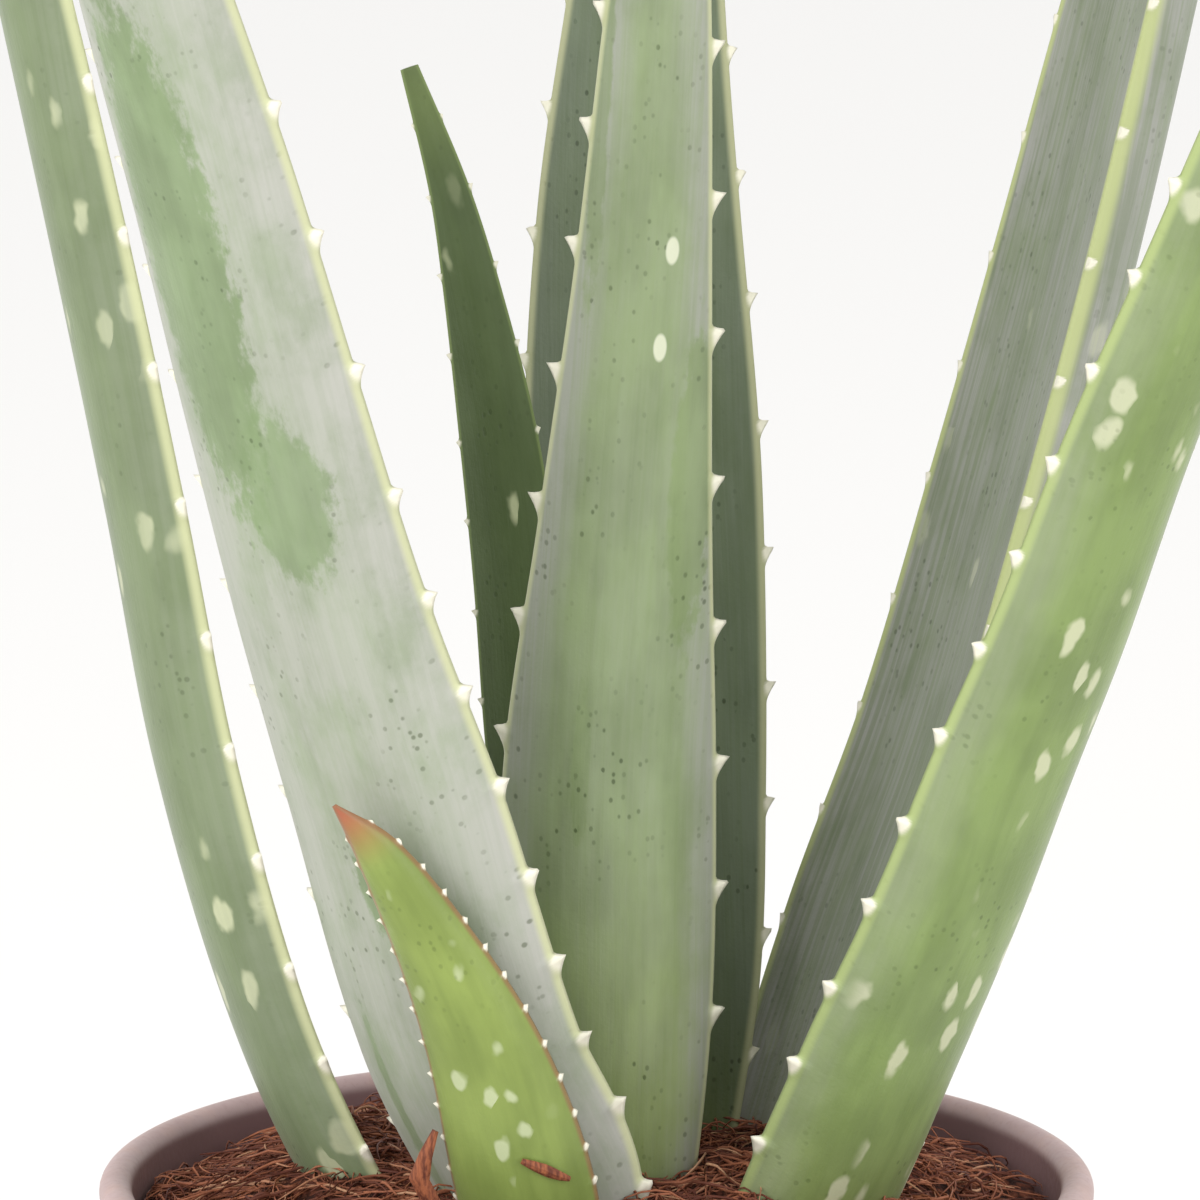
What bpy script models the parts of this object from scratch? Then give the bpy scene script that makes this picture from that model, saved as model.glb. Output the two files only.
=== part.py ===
"""A young aloe in a plain round clay pot.

Eight thick, toothed leaves stand on a short crown that is buried in coir potting mix. Every leaf is a loft:
a spine carries a crescent section, flat or channelled on the side that faces the middle of the plant and
rounded on its outer side, with a row of teeth on each margin. The pot is a turned shape. The potting mix
fills it and has a pocket for the crown and for each leaf's foot.

Units are metres, +Z is up, and the origin is the middle of the pot's underside.
"""

import bpy
import numpy as np

MM = 0.001
GAP = 0.3 * MM  # clearance between solids that touch on the real plant
POCKET_GROWTH = 0.4 * MM  # how far a pocket's cutter stands proud of the leaf, so that the gap holds at corners

# Pot
POT_HEIGHT = 125 * MM
RIM_RADIUS = 67.5 * MM
FOOT_RADIUS = 57 * MM
WALL = 4.5 * MM
FLOOR = 6 * MM
LIP_ROUND = 2.2 * MM
FOOT_ROUND = 3 * MM
POT_SIDES = 48

# Potting mix: a low mound around the leaves that drops towards the wall
SOIL_AT_WALL = -8 * MM  # below the rim
SOIL_AT_CROWN = 2 * MM  # above the rim
SOIL_LUMP = 0.8 * MM
SOIL_SIDES = 36
SOIL_RINGS = 7

# Crown: a blunt dome just under the surface, which the leaves grow from
CROWN_CENTRE = (3 * MM, -6 * MM)
CROWN_TOP = -26 * MM  # below the rim
CROWN_RADIUS = 24 * MM
CROWN_DROP = 15 * MM
CROWN_ROOT = -62 * MM
CROWN_SIDES = 28
CROWN_ROOT_RADIUS = 12 * MM

# Leaves
ACROSS = 5  # section points from margin to margin, on each side of the leaf
TOOTH_HEIGHT = 1.8 * MM
TOOTH_BASE = 3.4 * MM
TOOTH_LEAN = 1.0 * MM
TOOTH_START = 4 * MM  # above the rim, so that no tooth is buried
FOOT_ROWS = 5  # section rows from a leaf's foot to there
POCKET_TOP = 14 * MM  # above the rim, clear of the mound

# One entry for each leaf. "faces" is the heading of its outer side, counter-clockwise from +X in degrees.
# "thick" and "channel" are shares of the width. "pitch" is the spacing of the teeth. The spine runs from the
# foot to the tip as (x, y, height above the rim, width), in millimetres.
LEAVES = {
    "leaf_front": {
        "faces": 270, "thick": 0.30, "channel": 0.10, "pitch": 18.5, "colour": "8FA472",
        "spine": [
            (3, -8, -29, 11), (1.2, -11, -3, 23), (1.5, -12, 25, 28), (1.7, -13, 57, 28.6), (3.8, -15, 92, 23.2),
            (6.2, -16.5, 127, 18.2), (8.2, -18.5, 163, 13.8), (10.5, -21, 205, 6.6), (12, -23, 237, 0.6),
        ],
    },
    "leaf_left_front": {
        "faces": 238, "thick": 0.30, "channel": 0.12, "pitch": 17.5, "colour": "A3AB9C",
        "spine": [
            (-3, -17, -34, 14), (-7.5, -20, 2, 33), (-17, -27, 26, 35), (-26.3, -36, 60, 34),
            (-34.1, -46, 87, 31), (-41.3, -57, 116, 28.5), (-48.3, -67, 145, 26), (-55.2, -76, 171, 23.5),
            (-69, -97, 225, 18), (-85, -120, 280, 10), (-98, -139, 325, 0.6),
        ],
    },
    "leaf_left": {
        "faces": 188, "thick": 0.35, "channel": 0.14, "pitch": 15.5, "colour": "6F8A52",
        "spine": [
            (-10, -3, -34, 13), (-30, -1, 0, 25.5), (-40.5, 0, 24, 27), (-49.8, 1, 58, 28), (-56.2, 1, 92, 27),
            (-63, 1, 126, 26), (-70.5, 1, 160, 24), (-86, 1, 225, 17.5), (-97, 1, 265, 11), (-108, 1, 305, 0.6),
        ],
    },
    "leaf_small_front": {
        "faces": 262, "thick": 0.26, "channel": 0.10, "pitch": 5.5, "colour": "7F9A3E",
        "spine": [
            (-5, -27, -40, 8), (-8, -38, -1, 18), (-10.3, -42, 12, 18.6), (-14.5, -45, 27, 15.6),
            (-20.5, -48, 41, 11.3), (-28.4, -52, 55.5, 6.2), (-34.1, -55, 62.5, 0.6),
        ],
    },
    "leaf_back": {
        "faces": 98, "thick": 0.28, "channel": 0.13, "pitch": 16, "colour": "55663F",
        "spine": [
            (7, 5, -33, 13), (8, 9, -2, 21), (8.5, 12, 24, 28), (7.8, 17, 49, 31), (7.2, 22, 76, 32),
            (6.2, 27, 97, 32.4), (5.8, 33, 127, 28), (6.8, 40, 155, 21.8), (9, 50, 200, 12.5), (11, 60, 240, 0.6),
        ],
    },
    "leaf_young": {
        "faces": 110, "thick": 0.30, "channel": 0.10, "pitch": 12, "colour": "46622F",
        "spine": [
            (-1, 0, -31, 8), (-3, 3, 0, 12), (-6, 5, 30, 12.5), (-9.1, 7, 58, 12.6), (-10.8, 9, 79, 12.2),
            (-13.2, 11, 99, 11.2), (-17, 13, 120, 8), (-20, 14, 133, 5.6), (-25.2, 15, 149, 2.6),
        ],
    },
    "leaf_right_back": {
        "faces": 23, "thick": 0.45, "channel": 0.14, "pitch": 15.5, "colour": "8A9684",
        "spine": [
            (15, 3, -35, 13), (22, 7, 0, 25), (30.5, 9, 28, 28), (41, 11, 57, 28.5), (51, 14, 91, 28.5),
            (60.3, 17, 125, 27.5), (69.2, 20, 160, 25), (86.5, 27, 225, 17.5), (99, 32, 270, 10),
            (109, 37, 310, 0.6),
        ],
    },
    "leaf_right_front": {
        "faces": 306, "thick": 0.34, "channel": 0.12, "pitch": 13.8, "colour": "7A9A4C",
        "spine": [
            (14, -12, -34, 13), (27.7, -15, -3, 25), (38.7, -22, 25, 26), (46.4, -29, 45, 25), (53.2, -36, 65, 24),
            (60, -43, 84, 22.8), (67.9, -52, 109, 21.2), (76.2, -60, 132, 19.5), (95, -78, 185, 15),
            (112, -94, 230, 9), (126, -107, 265, 0.6),
        ],
    },
}

# Dry scraps. The sheath is what is left of an old leaf, curled up beside the small leaf, as (x, y, height above
# the rim, width) in millimetres. The fibre lies on the small leaf, as (height above the rim, share of the way
# from the middle to the margin, width).
DRY_SHEATH = [
    (-20.9, -41.5, -1.2, 2.2), (-21.4, -41.7, 5, 2.6), (-23.4, -42.5, 9.4, 3), (-22.8, -43.4, 12, 2.2),
    (-21.2, -44, 16.4, 0.9),
]
DRY_FIBRE = [(14.2, 0.16, 0.8), (12.8, 0.38, 1.8), (11.4, 0.56, 1.7), (10.2, 0.72, 0.8)]
SCRAP_THICKNESS = 0.6 * MM
SCRAP_ROWS = 6


def clear_scene():
    for existing in list(bpy.data.objects):
        bpy.data.objects.remove(existing, do_unlink=True)


def linear(code):
    """An sRGB hex colour as linear red, green, blue and alpha."""
    channels = np.array([int(code[i:i + 2], 16) / 255 for i in (0, 2, 4)])
    low, high = channels / 12.92, ((channels + 0.055) / 1.055) ** 2.4
    return (*np.where(channels <= 0.04045, low, high), 1.0)


def material(name, code, roughness):
    made = bpy.data.materials.new(name)
    made.use_nodes = True
    shader = made.node_tree.nodes["Principled BSDF"]
    shader.inputs["Base Color"].default_value = linear(code)
    shader.inputs["Roughness"].default_value = roughness
    shader.inputs["Metallic"].default_value = 0.0
    return made


def solid(name, points, faces, finish=None):
    """A mesh object from points and faces, smooth where the surface is round."""
    mesh = bpy.data.meshes.new(name)
    mesh.from_pydata(np.asarray(points).tolist(), [], faces)
    mesh.validate()
    mesh.shade_smooth()
    mesh.set_sharp_from_angle(angle=np.radians(40))
    made = bpy.data.objects.new(name, mesh)
    bpy.context.scene.collection.objects.link(made)
    if finish:
        mesh.materials.append(finish)
    return made


def sides_of(rows, columns):
    """Quads between neighbouring rings of a grid whose columns close on themselves."""
    return [
        (row * columns + k, row * columns + (k + 1) % columns,
         (row + 1) * columns + (k + 1) % columns, (row + 1) * columns + k)
        for row in range(rows - 1) for k in range(columns)
    ]


def turned(name, profile, sides, centre=(0, 0), finish=None):
    """A solid of revolution. The profile (radius, height) starts and ends on the axis, from the top down the
    outside when it is a plug, or from the inner floor over the rim to the underside when it is a vessel."""
    profile = np.asarray(profile, float)
    angle = np.linspace(0, 2 * np.pi, sides, endpoint=False)
    ring = profile[1:-1]
    points = np.empty((len(ring), sides, 3))
    points[..., 0] = centre[0] + ring[:, :1] * np.cos(angle)
    points[..., 1] = centre[1] + ring[:, :1] * np.sin(angle)
    points[..., 2] = ring[:, 1:]
    faces = [face[::-1] for face in sides_of(len(ring), sides)]
    first, last = len(ring) * sides, len(ring) * sides + 1
    faces += [(first, k, (k + 1) % sides) for k in range(sides)]
    end = (len(ring) - 1) * sides
    faces += [(last, end + (k + 1) % sides, end + k) for k in range(sides)]
    poles = [(*centre, profile[0, 1]), (*centre, profile[-1, 1])]
    return solid(name, np.vstack([points.reshape(-1, 3), poles]), faces, finish)


def arc(centre, radius, start, stop, count):
    """Points on a circle in the profile's plane, with the angles in degrees."""
    angle = np.radians(np.linspace(start, stop, count))
    return [(centre[0] + radius * np.cos(a), centre[1] + radius * np.sin(a)) for a in angle]


def smooth(stations, values, at):
    """Cubic Hermite curve through the values, with central-difference slopes."""
    slope = np.gradient(values, stations, axis=0, edge_order=1)
    slope[1:-1] = (values[2:] - values[:-2]) / (stations[2:] - stations[:-2])[:, None]
    k = np.clip(np.searchsorted(stations, at, side="right") - 1, 0, len(stations) - 2)
    step = (stations[k + 1] - stations[k])[:, None]
    x = (at - stations[k])[:, None] / step
    return (
        values[k] * (2 * x**3 - 3 * x**2 + 1) + step * slope[k] * (x**3 - 2 * x**2 + x)
        + values[k + 1] * (3 * x**2 - 2 * x**3) + step * slope[k + 1] * (x**3 - x**2)
    )


def unit(vectors):
    return vectors / np.linalg.norm(vectors, axis=1, keepdims=True)


def distances_along(spine):
    steps = np.linalg.norm(np.diff(spine[:, :3], axis=0), axis=1)
    return np.concatenate([[0], np.cumsum(steps)])


def foot_rows(spine, stations):
    """Distances from the foot of the rows that lie in the potting mix."""
    return np.linspace(0, np.interp(TOOTH_START, spine[:, 2], stations), FOOT_ROWS)


def tooth_rows(spine, stations, pitch):
    """Distances from the foot of each tooth's middle, at an even pitch that closes up towards the tip."""
    first = foot_rows(spine, stations)[-1] + pitch / 2
    usable = stations[-1] - 5 * TOOTH_BASE - first
    count = int(usable / pitch)
    k = np.arange(count + 1)
    return first + k * pitch * (1 - 0.15 * k / max(count, 1))


def crescent(width, thickness, channel):
    """The section's outline as (across, outward): the rounded outer side from margin to margin, then the
    channelled inner side back again. The two sides share the margin points."""
    across = -np.cos(np.linspace(0, np.pi, ACROSS + 1))
    outer = thickness * (1 - np.abs(across) ** 2.3) ** 0.75
    inner = channel * (1 - across**2)
    u = np.concatenate([across, across[-2:0:-1]])
    v = np.concatenate([outer, inner[-2:0:-1]])
    return u * width / 2, v


def leaf_rings(leaf, rows, teeth=None, grow=0.0):
    """The leaf's section outlines at the given distances from its foot. The rows named in teeth get a tooth on
    both margins, and grow moves the whole surface outwards."""
    spine = np.array(leaf["spine"], float) * MM
    stations = distances_along(spine)
    line = smooth(stations, spine, rows)
    middle, width = line[:, :3] + (0, 0, POT_HEIGHT), np.maximum(line[:, 3], 0.6 * MM)
    fine = np.linspace(0, stations[-1], 400)
    course = np.gradient(smooth(stations, spine[:, :3], fine), fine, axis=0)
    along = unit(np.stack([np.interp(rows, fine, course[:, i]) for i in range(3)], axis=1))
    heading = np.radians(leaf["faces"])
    outward = np.array([np.cos(heading), np.sin(heading), 0]) * np.ones((len(rows), 1))
    outward = unit(outward - along * (outward * along).sum(axis=1, keepdims=True))
    sideways = np.cross(along, outward)
    share = rows / stations[-1]
    thickness = leaf["thick"] * width * (1 + 0.25 * share**2)
    foot = np.clip(rows / (40 * MM), 0, 1)
    channel = leaf["channel"] * width * foot * (1 - share) ** 0.7
    rings = []
    for i in range(len(rows)):
        u, v = crescent(width[i] + 2 * grow, thickness[i] + 2 * grow, channel[i])
        ring = middle[i] + sideways[i] * u[:, None] + outward[i] * (v - grow)[:, None]
        if teeth is not None and teeth[i]:
            for point, side in ((0, -1), (ACROSS, 1)):
                ring[point] += side * sideways[i] * TOOTH_HEIGHT + along[i] * TOOTH_LEAN
        rings.append(ring)
    return np.array(rings)


def loft(name, rings, finish=None):
    """A closed solid through section outlines. Each end is capped from side to side across the section."""
    rows, columns = rings.shape[:2]
    faces = sides_of(rows, columns)
    end = (rows - 1) * columns
    faces += [(1, 0, columns - 1), (end, end + 1, end + columns - 1)]
    for k in range(1, ACROSS - 1):
        faces.append((k + 1, k, columns - k, columns - k - 1))
        faces.append((end + k, end + k + 1, end + columns - k - 1, end + columns - k))
    middle = ACROSS
    faces += [(middle, middle - 1, middle + 1), (end + middle - 1, end + middle, end + middle + 1)]
    return solid(name, rings.reshape(-1, 3), faces, finish)


def leaf_rows(leaf):
    """Distances from the foot of all the section rows, and which of them carry a tooth: plain rows at the foot,
    three at each tooth, and a few to the tip."""
    spine = np.array(leaf["spine"], float) * MM
    stations = distances_along(spine)
    tips = tooth_rows(spine, stations, leaf["pitch"] * MM)
    foot = foot_rows(spine, stations)
    triples = (tips[:, None] + np.array([-0.5, 0, 0.5]) * TOOTH_BASE).ravel()
    end = np.linspace(triples[-1], stations[-1], 5)[1:]
    marked = np.concatenate([foot * 0, np.tile([0, 1, 0], len(tips)), end * 0])
    return np.concatenate([foot, triples, end]), marked


def make_leaf(name, leaf):
    rows, marked = leaf_rows(leaf)
    finish = material(name, leaf["colour"], 0.45)
    return loft(name, leaf_rings(leaf, rows, marked), finish)


def leaf_cutter(name, leaf):
    """The foot of a leaf, grown all round, which cuts its pocket in the crown and in the potting mix. It has the
    leaf's own rows, so that its facets are the leaf's."""
    rows, _ = leaf_rows(leaf)
    spine = np.array(leaf["spine"], float) * MM
    top = np.interp(POCKET_TOP, spine[:, 2], distances_along(spine))
    rings = leaf_rings(leaf, rows[: np.searchsorted(rows, top) + 1], grow=POCKET_GROWTH)
    rings[0] += unit(rings[:1, 0] - rings[1:2, 0]) * POCKET_GROWTH
    return hide(loft(name + "_pocket", rings))


def hide(cutter):
    cutter.hide_render = True
    cutter.display_type = "WIRE"
    return cutter


def cut(target, cutter):
    boolean = target.modifiers.new(cutter.name, "BOOLEAN")
    boolean.operation = "DIFFERENCE"
    boolean.solver = "EXACT"
    boolean.object = cutter


def make_pot():
    lip_top = POT_HEIGHT - LIP_ROUND
    slope = (RIM_RADIUS - FOOT_RADIUS) / POT_HEIGHT
    inner_foot = FOOT_RADIUS + slope * FLOOR - WALL
    profile = [(0, FLOOR), (inner_foot - 4 * MM, FLOOR), (inner_foot, FLOOR + 4 * MM)]
    profile += arc((RIM_RADIUS - WALL + LIP_ROUND, lip_top), LIP_ROUND, 180, 90, 4)
    profile += arc((RIM_RADIUS - LIP_ROUND, lip_top), LIP_ROUND, 90, 0, 4)
    profile += arc((FOOT_RADIUS - FOOT_ROUND, FOOT_ROUND), FOOT_ROUND, 0, -90, 4)
    profile += [(0, 0)]
    return turned("pot", profile, POT_SIDES, finish=material("pot", "BBA6A5", 0.5))


def inner_radius(height):
    """The pot's inside radius at a height over its underside."""
    return FOOT_RADIUS - WALL + (RIM_RADIUS - FOOT_RADIUS) * height / POT_HEIGHT


def soil_height(radius, angle):
    """The mound: level near the leaves, lower at the wall, with low lumps."""
    wall = inner_radius(POT_HEIGHT)
    fall = np.clip((radius - 0.45 * wall) / (0.55 * wall), 0, 1) ** 1.6
    lumps = np.sin(5 * angle + 90 * radius / wall) * np.cos(3 * angle - 7 * radius / wall)
    return POT_HEIGHT + SOIL_AT_CROWN + (SOIL_AT_WALL - SOIL_AT_CROWN) * fall + SOIL_LUMP * lumps * radius / wall


def make_soil():
    edge_height = POT_HEIGHT + SOIL_AT_WALL
    rim = inner_radius(edge_height - 2 * MM) - 4 * GAP
    radii = np.linspace(0, rim, SOIL_RINGS + 1)[1:]
    angle = np.linspace(0, 2 * np.pi, SOIL_SIDES, endpoint=False)
    rings = []
    for radius in radii:
        height = soil_height(radius, angle)
        rings.append(np.stack([radius * np.cos(angle), radius * np.sin(angle), height], axis=1))
    foot = inner_radius(FLOOR)
    for radius, height in ((foot - 2 * GAP, FLOOR + 5 * MM), (foot - 5 * MM, FLOOR + GAP)):
        ring = np.stack([radius * np.cos(angle), radius * np.sin(angle), 0 * angle + height], axis=1)
        rings.append(ring)
    rows = len(rings)
    faces = [face[::-1] for face in sides_of(rows, SOIL_SIDES)]
    top, bottom = rows * SOIL_SIDES, rows * SOIL_SIDES + 1
    end = (rows - 1) * SOIL_SIDES
    faces += [(top, k, (k + 1) % SOIL_SIDES) for k in range(SOIL_SIDES)]
    faces += [(bottom, end + (k + 1) % SOIL_SIDES, end + k) for k in range(SOIL_SIDES)]
    poles = [(0, 0, POT_HEIGHT + SOIL_AT_CROWN), (0, 0, FLOOR + GAP)]
    points = np.vstack([np.concatenate(rings), poles])
    return solid("potting_soil", points, faces, material("potting_soil", "5A3426", 0.9))


def crown_profile(grow):
    """A dome that falls away from its top as the square of the radius, over a blunt root end."""
    profile = [(0, POT_HEIGHT + CROWN_TOP + grow)]
    for share in np.linspace(0, 1, 8)[1:]:
        height = POT_HEIGHT + CROWN_TOP - CROWN_DROP * share**2
        profile.append((share * CROWN_RADIUS + grow * share, height + grow * (1 - share**4)))
    root = POT_HEIGHT + CROWN_ROOT
    profile += [(CROWN_RADIUS * 0.94 + grow, POT_HEIGHT + CROWN_TOP - CROWN_DROP - 4 * MM)]
    profile += [(CROWN_ROOT_RADIUS + grow, root - grow), (0, root - grow)]
    return profile


def on_leaf(leaf, heights, shares, lift):
    """Points over a leaf's outer side, at heights above the rim and shares of the way to the margin, and the
    direction that side faces there."""
    spine = np.array(leaf["spine"], float) * MM
    rows = np.interp(heights, spine[:, 2], distances_along(spine))
    rings = leaf_rings(leaf, rows)
    left, right, top = rings[:, 0], rings[:, ACROSS], rings[:, ACROSS // 2:ACROSS // 2 + 2].mean(axis=1)
    middle = (left + right) / 2
    rise = (top - middle) * (1 - np.abs(shares[:, None]) ** 2.3) ** 0.75
    facing = unit(top - middle)
    return middle + (right - left) / 2 * shares[:, None] + rise + facing * lift, facing


def scrap(name, path, widths, facing, code):
    """A thin dry strip with a crescent section along a path, lying square to the given directions."""
    along = unit(np.gradient(path, axis=0))
    facing = unit(facing - along * (facing * along).sum(axis=1, keepdims=True))
    sideways = np.cross(along, facing)
    rings = []
    for i, width in enumerate(widths):
        u, v = crescent(width, SCRAP_THICKNESS * (0.5 + 0.5 * width / widths.max()), 0)
        rings.append(path[i] + sideways[i] * u[:, None] + facing[i] * v[:, None])
    return loft(name, np.array(rings), material(name, code, 0.8))


def make_dry_sheath():
    line = np.array(DRY_SHEATH, float) * MM
    stations = distances_along(line)
    route = smooth(stations, line, np.linspace(0, stations[-1], SCRAP_ROWS))
    towards_viewer = np.tile([-0.34, -0.94, 0.0], (SCRAP_ROWS, 1))
    scrap("dry_sheath", route[:, :3] + (0, 0, POT_HEIGHT), route[:, 3], towards_viewer, "8A4A2E")


def make_dry_fibre():
    line = np.array(DRY_FIBRE, float)
    at = np.linspace(0, len(line) - 1, SCRAP_ROWS)
    height, share, width = (np.interp(at, np.arange(len(line)), line[:, i]) for i in range(3))
    path, facing = on_leaf(LEAVES["leaf_small_front"], height * MM, share, 2 * GAP)
    scrap("dry_fibre", path, width * MM, facing, "6E3A26")


def main():
    clear_scene()
    make_pot()
    soil = make_soil()
    crown = turned("stem", crown_profile(0), CROWN_SIDES, CROWN_CENTRE, material("stem", "9A8A5E", 0.7))
    cut(soil, hide(turned("stem_pocket", crown_profile(GAP), CROWN_SIDES, CROWN_CENTRE)))
    for name, leaf in LEAVES.items():
        make_leaf(name, leaf)
        pocket = leaf_cutter(name, leaf)
        cut(crown, pocket)
        cut(soil, pocket)
    make_dry_sheath()
    make_dry_fibre()


main()
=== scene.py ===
# %% [markdown]
# # A young potted aloe
#
# This lesson dresses a finished construction model: a rosette of eight thick leaves in coir potting mix in a
# round clay pot. The construction gives every piece its place and size. Here each piece gets a fine surface and
# a material that behaves as the real stuff does.
#
# An aloe leaf is a water store. Its skin is smooth and green, and over it lies a bloom: a thin grey wax that is
# rough enough to scatter light and that rubs off where leaves touched. Young leaves also carry long pale spots,
# and each margin has a row of small horny teeth.

# %% Load the construction model
import math

import bpy
import numpy as np
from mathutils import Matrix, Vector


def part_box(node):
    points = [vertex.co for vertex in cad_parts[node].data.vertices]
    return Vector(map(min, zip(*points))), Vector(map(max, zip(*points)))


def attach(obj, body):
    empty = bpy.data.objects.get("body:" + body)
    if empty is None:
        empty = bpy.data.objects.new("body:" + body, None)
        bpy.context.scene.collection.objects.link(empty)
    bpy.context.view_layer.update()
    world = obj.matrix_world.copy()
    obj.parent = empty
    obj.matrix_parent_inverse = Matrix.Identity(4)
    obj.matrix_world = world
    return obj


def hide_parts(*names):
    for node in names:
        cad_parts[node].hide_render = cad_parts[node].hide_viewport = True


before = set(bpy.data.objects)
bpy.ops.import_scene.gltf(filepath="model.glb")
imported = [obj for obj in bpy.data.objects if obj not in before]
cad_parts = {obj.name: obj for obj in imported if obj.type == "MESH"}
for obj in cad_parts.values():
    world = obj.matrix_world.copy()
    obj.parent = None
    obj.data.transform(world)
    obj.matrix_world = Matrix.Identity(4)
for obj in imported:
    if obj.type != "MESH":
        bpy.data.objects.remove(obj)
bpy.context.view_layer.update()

MM = 0.001
RNG = np.random.default_rng(7)
print("nodes:", sorted(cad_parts))

# %% [markdown]
# ## Helpers
#
# Colours are written as sRGB hex, as a designer reads them off a colour chart, and turned to linear light by
# one function. One more function adds a shader node with its settings and its links. A third makes a mesh from
# whole arrays of points.


# %% Colours, nodes and meshes
def rgb(code):
    """sRGB hex to linear RGBA: c/12.92 below 0.04045, else ((c + 0.055)/1.055)^2.4."""
    c = np.array([int(code[i:i + 2], 16) / 255 for i in (0, 2, 4)])
    return (*np.where(c <= 0.04045, c / 12.92, ((c + 0.055) / 1.055) ** 2.4).tolist(), 1.0)


class Shader:
    """A material under construction. add() makes a node, sets its properties and fills its sockets: a socket
    takes a number, a colour, or another node's output."""

    def __init__(self, name, **fixed):
        self.material = bpy.data.materials.new(name)
        self.material.use_nodes = True
        self.tree = self.material.node_tree
        self.principled = self.tree.nodes["Principled BSDF"]
        self.fill(self.principled, fixed)

    def fill(self, node, sockets):
        for key, value in sockets.items():
            socket = node.inputs[key if isinstance(key, int) else key.replace("_", " ")]
            if isinstance(value, bpy.types.NodeSocket):
                self.tree.links.new(value, socket)
            else:
                socket.default_value = value

    def add(self, kind, sockets=None, out=0, **settings):
        node = self.tree.nodes.new(kind)
        for key, value in settings.items():
            setattr(node, key, value)
        self.fill(node, sockets or {})
        return node.outputs[out]

    def math(self, operation, a, b=0.0, c=0.0):
        return self.add("ShaderNodeMath", {0: a, 1: b, 2: c}, operation=operation)

    def ramp(self, value, low, high, to_low=0.0, to_high=1.0):
        """value mapped smoothly from low..high to to_low..to_high, and held outside."""
        return self.add(
            "ShaderNodeMapRange", {0: value, 1: low, 2: high, 3: to_low, 4: to_high}, interpolation_type="SMOOTHSTEP"
        )

    def mix(self, share, a, b, blend="MIX"):
        """Colour a, going to colour b as share goes from 0 to 1."""
        return self.add("ShaderNodeMix", {0: share, 6: a, 7: b}, out=2, data_type="RGBA", blend_type=blend)

    def noise(self, place, scale, detail=3.0, rough=0.55, distortion=0.0):
        sockets = {"Vector": place, "Scale": scale, "Detail": detail, "Roughness": rough, "Distortion": distortion}
        return self.add("ShaderNodeTexNoise", sockets)

    def stretched(self, place, scale, move=(0, 0, 0)):
        return self.add("ShaderNodeMapping", {"Vector": place, "Scale": scale, "Location": move})

    def bump(self, height, distance, strength=1.0):
        return self.add("ShaderNodeBump", {"Height": height, "Distance": distance, "Strength": strength})


def new_piece(name, points, faces, smooth=True):
    """A mesh object at the origin, with its place in its mesh."""
    mesh = bpy.data.meshes.new(name)
    mesh.from_pydata(points.reshape(-1, 3), [], faces)
    if smooth:
        mesh.shade_smooth()
    made = bpy.data.objects.new(name, mesh)
    bpy.context.scene.collection.objects.link(made)
    return made


def closed_grid_faces(rows, columns):
    """Quads of a tube whose columns close on themselves, rows x columns points in row order."""
    r, c = np.meshgrid(np.arange(rows - 1), np.arange(columns), indexing="ij")
    here, across = r * columns + c, r * columns + (c + 1) % columns
    return np.stack([here, across, across + columns, here + columns], axis=-1).reshape(-1, 4)


def through(stations, values, at):
    """Cubic Hermite curve through values at stations, with central-difference slopes."""
    slope = np.gradient(values, stations, axis=0)
    slope[1:-1] = (values[2:] - values[:-2]) / (stations[2:] - stations[:-2])[:, None]
    k = np.clip(np.searchsorted(stations, at, side="right") - 1, 0, len(stations) - 2)
    step = (stations[k + 1] - stations[k])[:, None]
    x = (at - stations[k])[:, None] / step
    return (
        values[k] * (2 * x**3 - 3 * x**2 + 1) + step * slope[k] * (x**3 - 2 * x**2 + x)
        + values[k + 1] * (3 * x**2 - 2 * x**3) + step * slope[k + 1] * (x**3 - x**2)
    )


def unit(vectors):
    return vectors / np.linalg.norm(vectors, axis=-1, keepdims=True)


# %% [markdown]
# ## Camera, floor and light
#
# The plant is seen from a little above the pot's rim, from far off with a long lens, so that the upright leaves
# stay upright. The floor is plain and pale and carries on behind the plant. Two large soft lights from the front
# left and the front right, and a bright room, give the even light of a product studio.

# %% Camera
pot_low, pot_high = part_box("pot")
POT_HEIGHT = pot_high.z
RIM_RADIUS = pot_high.x
VIEW_ELEVATION = math.radians(14.0)
VIEW_DISTANCE = 1.5
LENS_MM = 331.0
AIM_DOWN = math.radians(11.04)

camera_data = bpy.data.cameras.new("camera")
camera_data.lens = LENS_MM
camera_data.sensor_width = 36.0
camera_data.clip_end = 50.0
camera = bpy.data.objects.new("camera", camera_data)
camera.location = (
    0.0, -VIEW_DISTANCE * math.cos(VIEW_ELEVATION), POT_HEIGHT + VIEW_DISTANCE * math.sin(VIEW_ELEVATION)
)
camera.rotation_euler = (math.pi / 2 - AIM_DOWN, 0.0, -math.radians(0.018))
bpy.context.scene.collection.objects.link(camera)
bpy.context.scene.camera = camera
print("camera at", [round(v, 3) for v in camera.location])

# %% Floor, world and lights
floor_shader = Shader("pale_floor", Base_Color=rgb("F7F6F4"), Roughness=0.9)
corners = np.array([(-6, -4, 0), (6, -4, 0), (6, 10, 0), (-6, 10, 0)], float)
floor = new_piece("floor", corners, [(0, 1, 2, 3)], smooth=False)
floor.data.materials.append(floor_shader.material)

world = bpy.data.worlds.new("studio")
world.use_nodes = True
world.node_tree.nodes["Background"].inputs["Color"].default_value = (1.0, 1.0, 1.0, 1.0)
world.node_tree.nodes["Background"].inputs["Strength"].default_value = 0.95
bpy.context.scene.world = world
bpy.context.scene.view_settings.view_transform = "Standard"


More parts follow.
